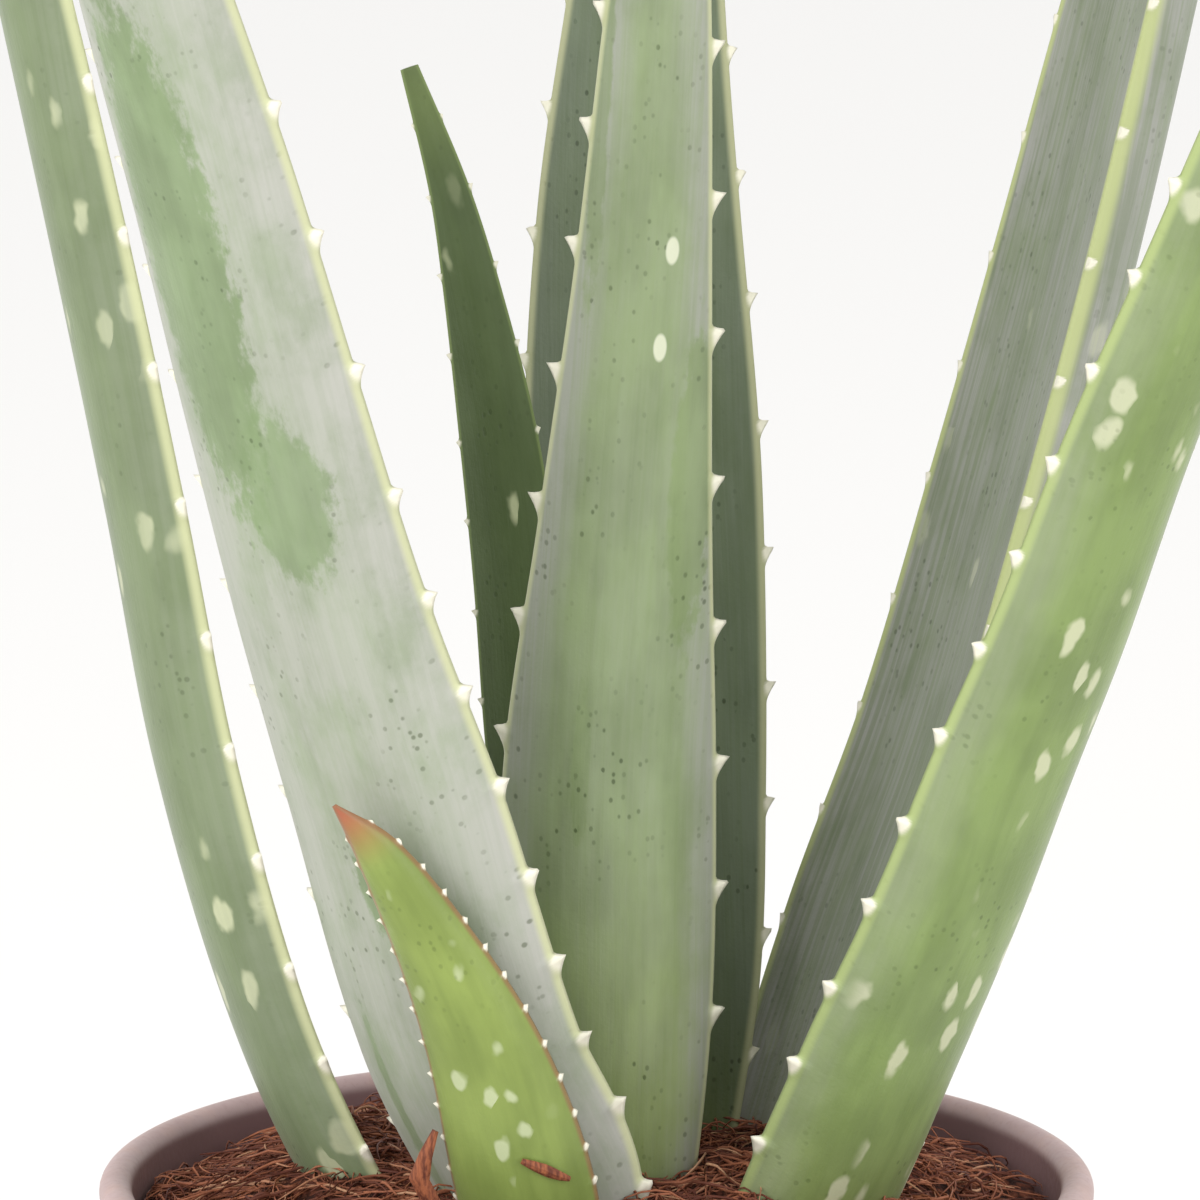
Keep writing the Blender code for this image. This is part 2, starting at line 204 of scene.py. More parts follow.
def soft_light(name, place, target, size, power):
    """A square area light that points at a target."""
    data = bpy.data.lights.new(name, "AREA")
    data.size, data.energy = size, power
    light = bpy.data.objects.new(name, data)
    light.location = place
    way = np.subtract(target, place)
    light.rotation_euler = (math.atan2(math.hypot(way[0], way[1]), -way[2]), 0.0, math.atan2(-way[0], way[1]))
    bpy.context.scene.collection.objects.link(light)
    return light


middle = (0.0, 0.0, 0.22)
soft_light("key", (-0.9, -1.1, 1.0), middle, 0.9, 13.0)
soft_light("fill", (1.2, -0.9, 0.7), middle, 0.9, 7.0)

# %% [markdown]
# ## The leaves' shape
#
# A leaf is a spine with a section carried along it. The section is a crescent: flat or channelled on the inner
# side, rounded on the outer side, with a sharp margin where they meet. The rows of points are close together,
# so that each tooth is real geometry: the margin swings out into a small hook, long and sloping on its lower
# side, short on its upper side, and leaning towards the leaf's tip.
#
# The spines, widths and headings are the construction's own, so each fine leaf lies in the space of its plain one.

# %% The leaves' driving dimensions
# Each spine runs from the foot to the tip as (x, y, height above the rim, width), in millimetres. "faces" is the
# heading of the outer side, in degrees counter-clockwise from +X. "thick" and "channel" are shares of the width.
# "teeth" gives, for the left and right margin as seen from outside, the height above the rim of the first tooth
# and the spacing near the foot and near the tip, in millimetres.
LEAVES = {
    "leaf_front": {
        "faces": 270, "thick": 0.30, "channel": 0.10, "teeth": ((12, 17.5, 17), (25, 17.5, 19.5)),
        "spine": [
            (3, -8, -29, 11), (1.2, -11, -3, 23), (1.5, -12, 25, 28), (1.7, -13, 57, 28.6), (3.8, -15, 92, 23.2),
            (6.2, -16.5, 127, 18.2), (8.2, -18.5, 163, 13.8), (10.5, -21, 205, 6.6), (12, -23, 237, 0.6),
        ],
    },
    "leaf_left_front": {
        "faces": 238, "thick": 0.30, "channel": 0.12, "teeth": ((14, 16, 17), (3, 10, 20)),
        "spine": [
            (-3, -17, -34, 14), (-7.5, -20, 2, 33), (-17, -27, 26, 35), (-26.3, -36, 60, 34),
            (-34.1, -46, 87, 31), (-41.3, -57, 116, 28.5), (-48.3, -67, 145, 26), (-55.2, -76, 171, 23.5),
            (-69, -97, 225, 18), (-85, -120, 280, 10), (-98, -139, 325, 0.6),
        ],
    },
    "leaf_left": {
        "faces": 188, "thick": 0.35, "channel": 0.14, "teeth": ((12, 14, 17), (5, 11, 20)),
        "spine": [
            (-10, -3, -34, 13), (-30, -1, 0, 25.5), (-40.5, 0, 24, 27), (-49.8, 1, 58, 28), (-56.2, 1, 92, 27),
            (-63, 1, 126, 26), (-70.5, 1, 160, 24), (-86, 1, 225, 17.5), (-97, 1, 265, 11), (-108, 1, 305, 0.6),
        ],
    },
    "leaf_small_front": {
        "faces": 262, "thick": 0.26, "channel": 0.10, "teeth": ((8, 6, 5), (8, 6, 5)),
        "spine": [
            (-5, -27, -40, 8), (-8, -38, -1, 18), (-10.3, -42, 12, 18.6), (-14.5, -45, 27, 15.6),
            (-20.5, -48, 41, 11.3), (-28.4, -52, 55.5, 6.2), (-34.1, -55, 62.5, 0.6),
        ],
    },
    "leaf_back": {
        "faces": 98, "thick": 0.28, "channel": 0.13, "teeth": ((14, 17, 17), (12, 17, 16)),
        "spine": [
            (7, 5, -33, 13), (8, 9, -2, 21), (8.5, 12, 24, 28), (7.8, 17, 49, 31), (7.2, 22, 76, 32),
            (6.2, 27, 97, 32.4), (5.8, 33, 127, 28), (6.8, 40, 155, 21.8), (9, 50, 200, 12.5), (11, 60, 240, 0.6),
        ],
    },
    "leaf_young": {
        "faces": 110, "thick": 0.30, "channel": 0.10, "teeth": ((16, 12, 12), (16, 12, 12)),
        "spine": [
            (-1, 0, -31, 8), (-3, 3, 0, 12), (-6, 5, 30, 12.5), (-9.1, 7, 58, 12.6), (-10.8, 9, 79, 12.2),
            (-13.2, 11, 99, 11.2), (-17, 13, 120, 8), (-20, 14, 133, 5.6), (-25.2, 15, 149, 2.6),
        ],
    },
    "leaf_right_back": {
        "faces": 23, "thick": 0.45, "channel": 0.14, "teeth": ((14, 15, 18), (14, 15, 17)),
        "spine": [
            (15, 3, -35, 13), (22, 7, 0, 25), (30.5, 9, 28, 28), (41, 11, 57, 28.5), (51, 14, 91, 28.5),
            (60.3, 17, 125, 27.5), (69.2, 20, 160, 25), (86.5, 27, 225, 17.5), (99, 32, 270, 10),
            (109, 37, 310, 0.6),
        ],
    },
    "leaf_right_front": {
        "faces": 306, "thick": 0.34, "channel": 0.12, "teeth": ((8, 13, 14.5), (8, 13, 14.5)),
        "spine": [
            (14, -12, -34, 13), (27.7, -15, -3, 25), (38.7, -22, 25, 26), (46.4, -29, 45, 25), (53.2, -36, 65, 24),
            (60, -43, 84, 22.8), (67.9, -52, 109, 21.2), (76.2, -60, 132, 19.5), (95, -78, 185, 15),
            (112, -94, 230, 9), (126, -107, 265, 0.6),
        ],
    },
}
ROW_SPACING = 0.4 * MM
SIDE_COLUMNS = 22
TOOTH_HEIGHT = 1.9 * MM
TOOTH_LOWER = 3.0 * MM
TOOTH_UPPER = 1.3 * MM
TOOTH_LEAN = 0.45
SMALL_TOOTH = {"leaf_small_front": 0.35, "leaf_young": 0.35, "leaf_right_back": 0.6, "leaf_back": 0.75}


# %% A leaf as one function of the distance along it and the way across it
def tooth_profile(along, tips, size):
    """How far the margin stands out, from 0 to 1. Each tooth is (1 - |x|)^1.7, where x runs from -1 to 0 over
    its long lower side and from 0 to 1 over its short upper side."""
    gap = along[:, None] - tips[None, :]
    x = np.where(gap < 0, gap / (TOOTH_LOWER * size), gap / (TOOTH_UPPER * size))
    return (np.clip(1 - np.abs(x), 0, 1) ** 1.7).max(axis=1)


def tooth_places(name, margin, stations, heights):
    """Distances along the leaf of one margin's teeth: the spacing goes evenly from its value near the foot to
    its value near the tip, with a little seeded scatter."""
    first, near, far = margin
    at = np.interp(first * MM, heights, stations)
    reach = stations[-1] * 0.965
    places = []
    scatter = np.random.default_rng(sum(map(ord, name)) + int(first * 10))
    while at < reach:
        places.append(at)
        share = at / reach
        at += (near + (far - near) * min(share * 2, 1)) * MM * (1 - 0.45 * max(share - 0.6, 0)) * scatter.uniform(0.93, 1.07)
    return np.array(places)


def leaf_surface(name, leaf):
    """Points, and for each point its place on the leaf: across and along in millimetres, which side, the
    distance from the margin in millimetres, how much of a tooth it is, and the share of the leaf's length."""
    spine = np.array(leaf["spine"], float) * MM
    stations = np.concatenate([[0], np.cumsum(np.linalg.norm(np.diff(spine[:, :3], axis=0), axis=1))])
    length = stations[-1]
    rows = int(length / ROW_SPACING)
    along = np.linspace(0, length, rows)
    line = through(stations, spine, along)
    middle, width = line[:, :3] + (0, 0, POT_HEIGHT), np.maximum(line[:, 3], 0.5 * MM)
    course = unit(np.gradient(line[:, :3], along, axis=0))
    heading = math.radians(leaf["faces"])
    outward = np.array([math.cos(heading), math.sin(heading), 0.0])
    outward = unit(outward - course * (course @ outward)[:, None])
    sideways = np.cross(course, outward)
    share = along / length
    thickness = leaf["thick"] * width * (1 + 0.25 * share**2)
    channel = leaf["channel"] * width * np.clip(along / (40 * MM), 0, 1) * (1 - share) ** 0.7
    across = -np.cos(np.linspace(0, np.pi, SIDE_COLUMNS + 1))
    outer = thickness[:, None] * (1 - np.abs(across) ** 2.3) ** 0.75
    inner = channel[:, None] * (1 - across**2)
    u = np.concatenate([across, across[-2:0:-1]])
    v = np.concatenate([outer, inner[:, -2:0:-1]], axis=1)
    points = (
        middle[:, None] + sideways[:, None] * (u * width[:, None] / 2)[..., None] + outward[:, None] * v[..., None]
    )
    columns = len(u)
    size = SMALL_TOOTH.get(name, 1.0)
    tooth = np.zeros((rows, columns))
    reach = np.exp(-((1 - np.abs(u)) * width.max() / 2 / (0.28 * MM)) ** 2)
    for side, margin in zip((-1, 1), leaf["teeth"]):
        hook = tooth_profile(along, tooth_places(name, margin, stations, spine[:, 2]), size)
        hook *= np.clip(width / (6 * MM), 0.25, 1)
        near = reach * (u * side > 0)
        tooth += hook[:, None] * near
        out = TOOTH_HEIGHT * size * hook[:, None] * near
        points += (sideways[:, None] * side + course[:, None] * TOOTH_LEAN) * out[..., None]
    side_of = np.concatenate([np.ones(SIDE_COLUMNS + 1), -np.ones(SIDE_COLUMNS - 1)])
    side_of[[0, SIDE_COLUMNS]] = 0.0
    edge = (1 - np.abs(u)) * width[:, None] / 2
    place = np.stack([u * width[:, None] / 2, np.tile(along[:, None], columns), np.tile(side_of, (rows, 1))], -1)
    facts = np.stack([edge, tooth, np.tile(share[:, None], columns)], axis=-1)
    place[..., :2] /= MM
    facts[..., 0] /= MM
    return points, place, facts


def close_ends(faces, rows, columns):
    """Adds the foot's and the tip's caps, as quads from one side of the section to the other."""
    k = np.arange(1, SIDE_COLUMNS - 1)
    end = (rows - 1) * columns
    foot = np.stack([k + 1, k, columns - k, columns - k - 1], axis=-1)
    tip = end + foot[:, ::-1]
    ends = [(1, 0, columns - 1), (end, end + 1, end + columns - 1)]
    m = SIDE_COLUMNS
    ends += [(m, m - 1, m + 1), (end + m - 1, end + m, end + m + 1)]
    return faces.tolist() + foot.tolist() + tip.tolist() + ends


def make_leaf(name, leaf):
    points, place, facts = leaf_surface(name, leaf)
    rows, columns = points.shape[:2]
    faces = close_ends(closed_grid_faces(rows, columns), rows, columns)
    made = new_piece(name + "_skin", points, faces)
    for key, values in (("place", place), ("facts", facts)):
        layer = made.data.attributes.new(key, "FLOAT_VECTOR", "POINT")
        layer.data.foreach_set("vector", values.astype(np.float32).ravel())
    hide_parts(name)
    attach(made, "root")
    print(name, rows, "x", columns, "points,", round(float(place[-1, 0, 1])), "mm long")
    return made


leaf_pieces = {name: make_leaf(name, leaf) for name, leaf in LEAVES.items()}

# %% [markdown]
# ## The leaves' skin
#
# One recipe makes every leaf's skin, and each leaf sets its own amounts:
#
# * green flesh under a clear cuticle, yellower towards the foot, with faint lengthwise fibres
# * a grey wax bloom, thicker along the sides (partly real wax, partly painted grazing sheen), mottled, and
#   rubbed off in patches and fine scratches
# * long pale spots, two to six millimetres long, denser on young leaves
# * dark pin-point speckles where the wax is broken
# * a thin pale margin and cream teeth of horn
#
# The pattern follows the leaf: each point carries its place across and along the leaf in millimetres.


# %% The skin's recipe
def leaf_skin(name, green, foot, tip, bloom_colour, bloom, spots=0.0, spot_colour="C9CDA6", streaks=0.3,
              margin="C9CC9E", edge_bloom_and_sheen=0.5, inner=None, rubs=(), speckle=0.5, foot_reach=70.0, marks=(),
              margin_width=0.45, tip_reach=0.12, spot_side=0.0, spot_length=5.0):
    """Living aloe skin, a wax-bloomed cuticle over green flesh. The amounts run from 0 to 1, lengths are in
    millimetres, and rubs and marks are ellipses (along, across, half length, half width, side)."""
    s = Shader(name, IOR=1.45, Metallic=0.0, Sheen_Weight=0.12, Sheen_Roughness=0.5, Sheen_Tint=rgb("E8EAE6"),
               Specular_IOR_Level=0.4)
    place = s.add("ShaderNodeAttribute", attribute_name="place", out=1)
    facts = s.add("ShaderNodeAttribute", attribute_name="facts", out=1)
    xyz = s.add("ShaderNodeSeparateXYZ", {0: place}).node
    across, along, side = xyz.outputs
    fact = s.add("ShaderNodeSeparateXYZ", {0: facts}).node
    edge, tooth, share = fact.outputs

    # Flesh: foot, blade and tip, with soft mottling drawn out along the leaf
    long_grain = s.noise(s.stretched(place, (0.5, 0.05, 1.0)), 1.0, 4.0)
    mottle = s.noise(s.stretched(place, (0.12, 0.05, 1.0)), 1.0, 3.0)
    flesh = s.mix(s.ramp(along, 20.0, foot_reach), rgb(foot), rgb(green))
    flesh = s.mix(s.ramp(share, 1.0 - tip_reach, 1.0), flesh, rgb(tip))
    # The inner face's own colour. leaf_left uses it for a darker green that is painted shade.
    if inner:
        flesh = s.mix(s.ramp(side, 0.3, -0.3), flesh, rgb(inner))
    darker = s.mix(1.0, flesh, rgb("9AA57E"), blend="MULTIPLY")
    flesh = s.mix(s.ramp(mottle, 0.35, 0.65, 0.0, 0.35), flesh, darker)
    flesh = s.mix(s.ramp(long_grain, 0.4, 0.7, 0.0, 0.18), flesh, darker)

    # Pale spots: cells drawn out along the leaf, some of them empty
    spotted = 0.0
    if spots:
        warp = s.noise(s.stretched(place, (0.35, 0.2, 1.0)), 1.0, 2.0)
        shift = s.add("ShaderNodeVectorMath", {0: place, 1: s.add("ShaderNodeCombineXYZ", {0: s.math(
            "MULTIPLY", warp, 2.4), 1: s.math("MULTIPLY", warp, 3.0)})}, operation="ADD")
        cell = s.stretched(shift, (1 / 3.4, 1 / (spot_length * 1.7), 1.0))
        cells = s.add("ShaderNodeTexVoronoi", {"Vector": cell, "Scale": 1.0, "Randomness": 0.85}).node
        chance = s.add("ShaderNodeSeparateColor", {0: cells.outputs["Color"]})
        sidewise = s.math("MULTIPLY_ADD", across, spot_side, spots)
        keep = s.ramp(s.math("SUBTRACT", sidewise, chance), -0.02, 0.06)
        blot = s.ramp(cells.outputs["Distance"], 0.40, 0.24)
        spotted = s.math("MULTIPLY", blot, keep)
        flesh = s.mix(s.math("MULTIPLY", spotted, 0.85), flesh, rgb(spot_colour))

    # Bloom: thick wax with rubbed patches and lengthwise scratches
    cover = s.ramp(s.noise(s.stretched(place, (0.16, 0.06, 1.0), (3.1, 1.7, 0)), 1.0, 5.0, 0.6), 0.3, 0.62, 0.55, 1.0)
    # More bloom within six millimetres of the margin: partly thicker wax, partly painted sheen, the grey that grazing
    # light gives where the surface turns away.
    width_share = s.ramp(edge, 0.4, 6.0, 1.0, 0.0)
    cover = s.math("MULTIPLY", cover, s.math("MULTIPLY_ADD", width_share, edge_bloom_and_sheen, bloom))
    if streaks:
        streak = s.noise(s.stretched(place, (1.4, 0.02, 1.0)), 1.0, 4.0, 0.6, 0.4)
        cover = s.math("MULTIPLY", cover, s.ramp(streak, 0.38, 0.62, 1.0 - streaks, 1.0))
    ragged = s.noise(s.stretched(place, (0.6, 0.25, 1.0)), 1.0, 4.0, 0.65)
    for at, off, half_length, half_width, on_side, strength in rubs:
        dx = s.math("MULTIPLY_ADD", across, 1 / half_width, -off / half_width)
        dy = s.math("MULTIPLY_ADD", along, 1 / half_length, -at / half_length)
        reach = s.math("POWER", s.math("ADD", s.math("MULTIPLY", dx, dx), s.math("MULTIPLY", dy, dy)), 0.5)
        worn = s.ramp(s.math("MULTIPLY_ADD", ragged, 1.1, s.math("SUBTRACT", reach, 0.55)), 1.1, 0.8)
        worn = s.math("MULTIPLY", worn, s.ramp(s.math("MULTIPLY", side, on_side), -0.1, 0.3))
        cover = s.math("MULTIPLY", cover, s.math("MULTIPLY_ADD", worn, -strength, 1.0))
    cover = s.math("MINIMUM", cover, 0.95)
    colour = s.mix(cover, flesh, rgb(bloom_colour))

    # Speckles: pin points half a millimetre across, in loose drifts
    pins = s.add("ShaderNodeTexVoronoi", {"Vector": s.stretched(place, (0.85, 0.6, 1.0)), "Scale": 1.0}).node
    drift = s.ramp(s.noise(s.stretched(place, (0.09, 0.04, 1.0), (7, 3, 0)), 1.0, 3.0), 0.42, 0.66, 0.0, 1.0)
    lucky = s.ramp(s.add("ShaderNodeSeparateColor", {0: pins.outputs["Color"]}), 0.62, 0.5)
    pin = s.math("MULTIPLY", s.ramp(pins.outputs["Distance"], 0.30, 0.14), s.math("MULTIPLY", lucky, drift))
    colour = s.mix(s.math("MULTIPLY", pin, speckle), colour, s.mix(1.0, colour, rgb("6F7D57"), blend="MULTIPLY"))

    # Single pale marks
    for at, off, half_length, half_width, on_side, strength in marks:
        dx = s.math("MULTIPLY_ADD", across, 1 / half_width, -off / half_width)
        dy = s.math("MULTIPLY_ADD", along, 1 / half_length, -at / half_length)
        reach = s.math("ADD", s.math("MULTIPLY", dx, dx), s.math("MULTIPLY", dy, dy))
        blot = s.math("MULTIPLY", s.ramp(reach, 1.25, 0.6), s.ramp(s.math("MULTIPLY", side, on_side), -0.1, 0.3))
        colour = s.mix(s.math("MULTIPLY", blot, strength), colour, rgb("DADDC4"))

    # Margin and teeth
    line = s.ramp(edge, margin_width * 1.7, margin_width * 0.5)
    colour = s.mix(s.math("MULTIPLY", line, 0.8), colour, rgb(margin))
    colour = s.mix(s.ramp(tooth, 0.04, 0.35), colour, rgb("EDE9D6"))
    s.fill(s.principled, {"Base Color": colour})
    s.fill(s.principled, {"Roughness": s.ramp(cover, 0.1, 0.8, 0.36, 0.58)})

    # Relief: lengthwise fibres a third of a millimetre apart, and a fine pebble in the wax
    fibres = s.noise(s.stretched(place, (2.6, 0.12, 1.0)), 1.0, 2.0)
    pebble = s.noise(place, 1.6, 2.0)
    relief = s.math("MULTIPLY_ADD", pebble, 0.6, s.math("MULTIPLY_ADD", fibres, 0.5, s.math("MULTIPLY", pin, -0.4)))
    s.fill(s.principled, {"Normal": s.bump(relief, 0.12 * MM, 0.55)})
    return s.material


# %% Each leaf's own skin
SKINS = {
    # leaf_front's high edge bloom is mostly painted grazing sheen along its sides.
    "leaf_front": dict(
        green="8A9C6C", foot="8DA04F", tip="A08A5C", bloom_colour="A5A89C", bloom=0.30, edge_bloom_and_sheen=0.75,
        streaks=0.25, speckle=0.7, foot_reach=95.0,
        rubs=((128, 8.5, 22, 3.0, 1, 0.8), (190, -7, 40, 1.5, 1, 0.6), (90, -4, 12, 1.2, 1, 0.5)),
        marks=((160, 3.6, 1.9, 0.9, 1, 0.9), (147, 2.8, 1.9, 0.9, 1, 0.9)),
    ),
    "leaf_left_front": dict(
        green="7F9468", foot="93A07C", tip="A08A5C", bloom_colour="B3B3AB", bloom=0.78, edge_bloom_and_sheen=0.2,
        streaks=0.12, speckle=0.6, foot_reach=60.0,
        rubs=((188, -2.0, 40, 7.0, 1, 0.85), (152, 4.0, 13, 6.0, 1, 0.75), (92, 1.0, 9, 3.4, 1, 0.8),
              (46, -9, 26, 1.1, 1, 0.6)),
    ),
    # leaf_left's darker inner colour paints the shade on its inner face, which leaf_left_front keeps from the light.
    "leaf_left": dict(
        green="73845A", foot="76865A", tip="A08A5C", bloom_colour="8E9680", bloom=0.34, edge_bloom_and_sheen=0.3,
        streaks=0.3, spots=0.16, spot_side=0.02, inner="5B6B44", speckle=0.4,
    ),
    "leaf_small_front": dict(
        green="87994A", foot="6F8342", tip="A5563F", bloom_colour="9AA07C", bloom=0.05, edge_bloom_and_sheen=0.0,
        streaks=0.0, spots=0.42, spot_colour="B9C29A", margin="8C6544", speckle=0.3, tip_reach=0.10,
        margin_width=0.35, spot_length=2.6,
    ),
    # leaf_back's dark green and dark grey bloom are painted shade from the leaves in front of it.
    "leaf_back": dict(
        green="5F6D4C", foot="6F7F2E", tip="A08A5C", bloom_colour="7E867A", bloom=0.35, edge_bloom_and_sheen=0.1,
        streaks=0.3, speckle=0.8, margin="B9BA92", margin_width=0.8, foot_reach=60.0,
    ),
    # leaf_young's dark greens and dark bloom are painted shade from the leaves in front, darkest at the foot; the
    # lighter tip is where it rises out of that shade.
    "leaf_young": dict(
        green="506038", foot="465634", tip="6A7A44", bloom_colour="6F7C5E", bloom=0.2, edge_bloom_and_sheen=0.1,
        streaks=0.2, spots=0.14, speckle=0.3, margin="7C8C58", margin_width=0.3,
    ),
    "leaf_right_back": dict(
        green="6C7E50", foot="7A8458", tip="A08A5C", bloom_colour="9D9D98", bloom=0.75, edge_bloom_and_sheen=0.2,
        streaks=0.45, spots=0.06, speckle=0.5, margin="B9C283", margin_width=0.7,
    ),
    "leaf_right_front": dict(
        green="7C9250", foot="8A9C58", tip="A08A5C", bloom_colour="A6A99A", bloom=0.10, edge_bloom_and_sheen=0.3,
        streaks=0.15, spots=0.46, spot_side=0.035, spot_colour="C6C9A6", speckle=0.4, margin="A9B878",
    ),
}
for name, skin in SKINS.items():
    leaf_pieces[name].data.materials.append(leaf_skin(name + "_waxed_skin", **skin))
print(len(SKINS), "leaf skins")

# %% [markdown]
# ## The pot
#
# A turned clay pot, dipped in a mauve-grey paint that dries satin. The paint is thin on the lip, where the warm
# clay shows through a little, and the lip is also lighter, a painted highlight on the rim. The inside wall carries
# painted shade: it is darker below the rim.

# %% The pot's shape
RIM_HEIGHT = POT_HEIGHT
FOOT_RADIUS = 57 * MM
WALL = 4.5 * MM
FLOOR = 6 * MM
LIP_ROUND = 2.2 * MM
FOOT_ROUND = 3 * MM
POT_SIDES = 256


def arc(centre, radius, start, stop, count):
    """Points on a circle in the profile's plane, angles in degrees."""
    angle = np.radians(np.linspace(start, stop, count))
    return np.stack([centre[0] + radius * np.cos(angle), centre[1] + radius * np.sin(angle)], axis=-1)


def run(start, stop, count):
    """Points between two corners, without the first."""
    return np.linspace(start, stop, count + 1)[1:]


def turned(name, profile, sides):
    """A profile (radius, height) carried round the axis, with both ends closed at the axis."""
    angle = np.linspace(0, 2 * np.pi, sides, endpoint=False)
    ring = profile[1:-1]
    points = np.stack([ring[:, :1] * np.cos(angle), ring[:, :1] * np.sin(angle), ring[:, 1:] + 0 * angle], axis=-1)
    rows = len(ring)
    faces = closed_grid_faces(rows, sides)[:, ::-1].tolist()
    top, bottom, end = rows * sides, rows * sides + 1, (rows - 1) * sides
    faces += [(top, k, (k + 1) % sides) for k in range(sides)]
    faces += [(bottom, end + (k + 1) % sides, end + k) for k in range(sides)]
    poles = [(0, 0, profile[0, 1]), (0, 0, profile[-1, 1])]
    return new_piece(name, np.vstack([points.reshape(-1, 3), poles]), faces)


lip_top = RIM_HEIGHT - LIP_ROUND
inner_foot = FOOT_RADIUS + (RIM_RADIUS - FOOT_RADIUS) * FLOOR / RIM_HEIGHT - WALL
pot_profile = np.vstack([
    [(0, FLOOR)], run((0, FLOOR), (inner_foot - 4 * MM, FLOOR), 6),
    arc((inner_foot - 4 * MM, FLOOR + 4 * MM), 4 * MM, -90, 0, 6),
    run((inner_foot, FLOOR + 4 * MM), (RIM_RADIUS - WALL, lip_top), 20),
    arc((RIM_RADIUS - WALL + LIP_ROUND, lip_top), LIP_ROUND, 180, 90, 8)[1:],
    arc((RIM_RADIUS - LIP_ROUND, lip_top), LIP_ROUND, 90, 0, 8),
    run((RIM_RADIUS, lip_top), (FOOT_RADIUS, FOOT_ROUND), 24),
    arc((FOOT_RADIUS - FOOT_ROUND, FOOT_ROUND), FOOT_ROUND, 0, -90, 7)[1:],
    run((FOOT_RADIUS - FOOT_ROUND, 0), (0, 0), 6),
])
pot = turned("painted_pot", pot_profile, POT_SIDES)
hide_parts("pot")
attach(pot, "root")


# %% The pot's finish
def painted_clay():
    """Fired clay under a satin mauve-grey mineral paint. Brush-fine unevenness, a warmer lip where the paint is
    thin and which is also lighter as a painted highlight, and a darker inside that is painted shade."""
    s = Shader("satin_painted_clay", IOR=1.5, Metallic=0.0, Specular_IOR_Level=0.4)
    place = s.add("ShaderNodeTexCoord", out=3)
    height = s.add("ShaderNodeSeparateXYZ", {0: place}, out=2)
    x, y = (s.add("ShaderNodeSeparateXYZ", {0: place}, out=k) for k in (0, 1))
    radius = s.math("POWER", s.math("ADD", s.math("MULTIPLY", x, x), s.math("MULTIPLY", y, y)), 0.5)
    wall_middle = s.math("MULTIPLY_ADD", height, (RIM_RADIUS - FOOT_RADIUS) / RIM_HEIGHT, FOOT_RADIUS - WALL / 2)
    inside = s.ramp(s.math("SUBTRACT", radius, wall_middle), 1.2 * MM, -1.2 * MM)
    clouds = s.noise(place, 1 / (14 * MM), 4.0)
    grain = s.noise(place, 1 / (0.9 * MM), 3.0)
    paint = s.mix(s.ramp(clouds, 0.35, 0.65), rgb("B49C9A"), rgb("BDA6A5"))
    paint = s.mix(s.ramp(grain, 0.55, 0.72, 0.0, 0.35), paint, rgb("A68E8B"))
    # The lip's lighter, warmer colour is partly thin, worn paint over the clay and partly a painted highlight on the
    # rim.
    lip = s.ramp(height, RIM_HEIGHT - 3 * MM, RIM_HEIGHT - 0.3 * MM)
    worn = s.math("MULTIPLY", lip, s.ramp(s.noise(place, 1 / (6 * MM), 4.0), 0.45, 0.7, 0.15, 0.8))
    paint = s.mix(s.math("MULTIPLY", worn, 0.5), paint, rgb("C9A797"))
    # Painted shade: the inside wall is darkened, less so in the top three millimetres below the rim.
    colour = s.mix(s.math("MULTIPLY", inside, s.ramp(lip, 0.0, 0.9, 1.0, 0.25)), paint, rgb("86696A"))
    s.fill(s.principled, {"Base Color": colour, "Roughness": s.ramp(grain, 0.3, 0.7, 0.42, 0.55)})
    s.fill(s.principled, {"Normal": s.bump(s.math("MULTIPLY_ADD", grain, 0.35, clouds), 0.15 * MM, 0.35)})
    return s.material


pot.data.materials.append(painted_clay())

# %% [markdown]
# ## The potting mix
#
# Coir potting mix is chopped coconut husk: red-brown crumbs of pith matted with springy fibres. The crumbs are a
# fine height field over the mound. The fibres are a few thousand thin curved strands that lie on it every way,
# each one a flat ribbon of a few faces.

# %% The mound
SOIL_AT_WALL = -8 * MM
SOIL_AT_CROWN = 2 * MM
SOIL_RADIUS = 61.2 * MM
INNER_RIM = RIM_RADIUS - WALL


def value_noise(x, y, seed):
    """Smooth noise in two dimensions: random values on a unit lattice, blended with 3t^2 - 2t^3."""
    table = np.random.default_rng(seed).random((64, 64))
    i, j = np.floor(x).astype(int), np.floor(y).astype(int)
    fx, fy = x - i, y - j
    fx, fy = fx * fx * (3 - 2 * fx), fy * fy * (3 - 2 * fy)
    low = table[i % 64, j % 64] * (1 - fx) + table[(i + 1) % 64, j % 64] * fx
    high = table[i % 64, (j + 1) % 64] * (1 - fx) + table[(i + 1) % 64, (j + 1) % 64] * fx
    return low * (1 - fy) + high * fy - 0.5


def mound(x, y):
    """Height of the mix: level near the leaves, lower at the wall, plus lumps of 12, 5, 2 and 1 mm."""
    radius = np.hypot(x, y)
    fall = np.clip((radius - 0.45 * INNER_RIM) / (0.55 * INNER_RIM), 0, 1) ** 1.6
    base = POT_HEIGHT + SOIL_AT_CROWN + (SOIL_AT_WALL - SOIL_AT_CROWN) * fall
    lumps = sum(
        size * value_noise(x / pitch + 9, y / pitch + 5, seed)
        for seed, (pitch, size) in enumerate(
            ((12 * MM, 2.4 * MM), (5 * MM, 2.2 * MM), (2.2 * MM, 1.3 * MM), (1.0 * MM, 0.8 * MM)))
    )
    return base + lumps


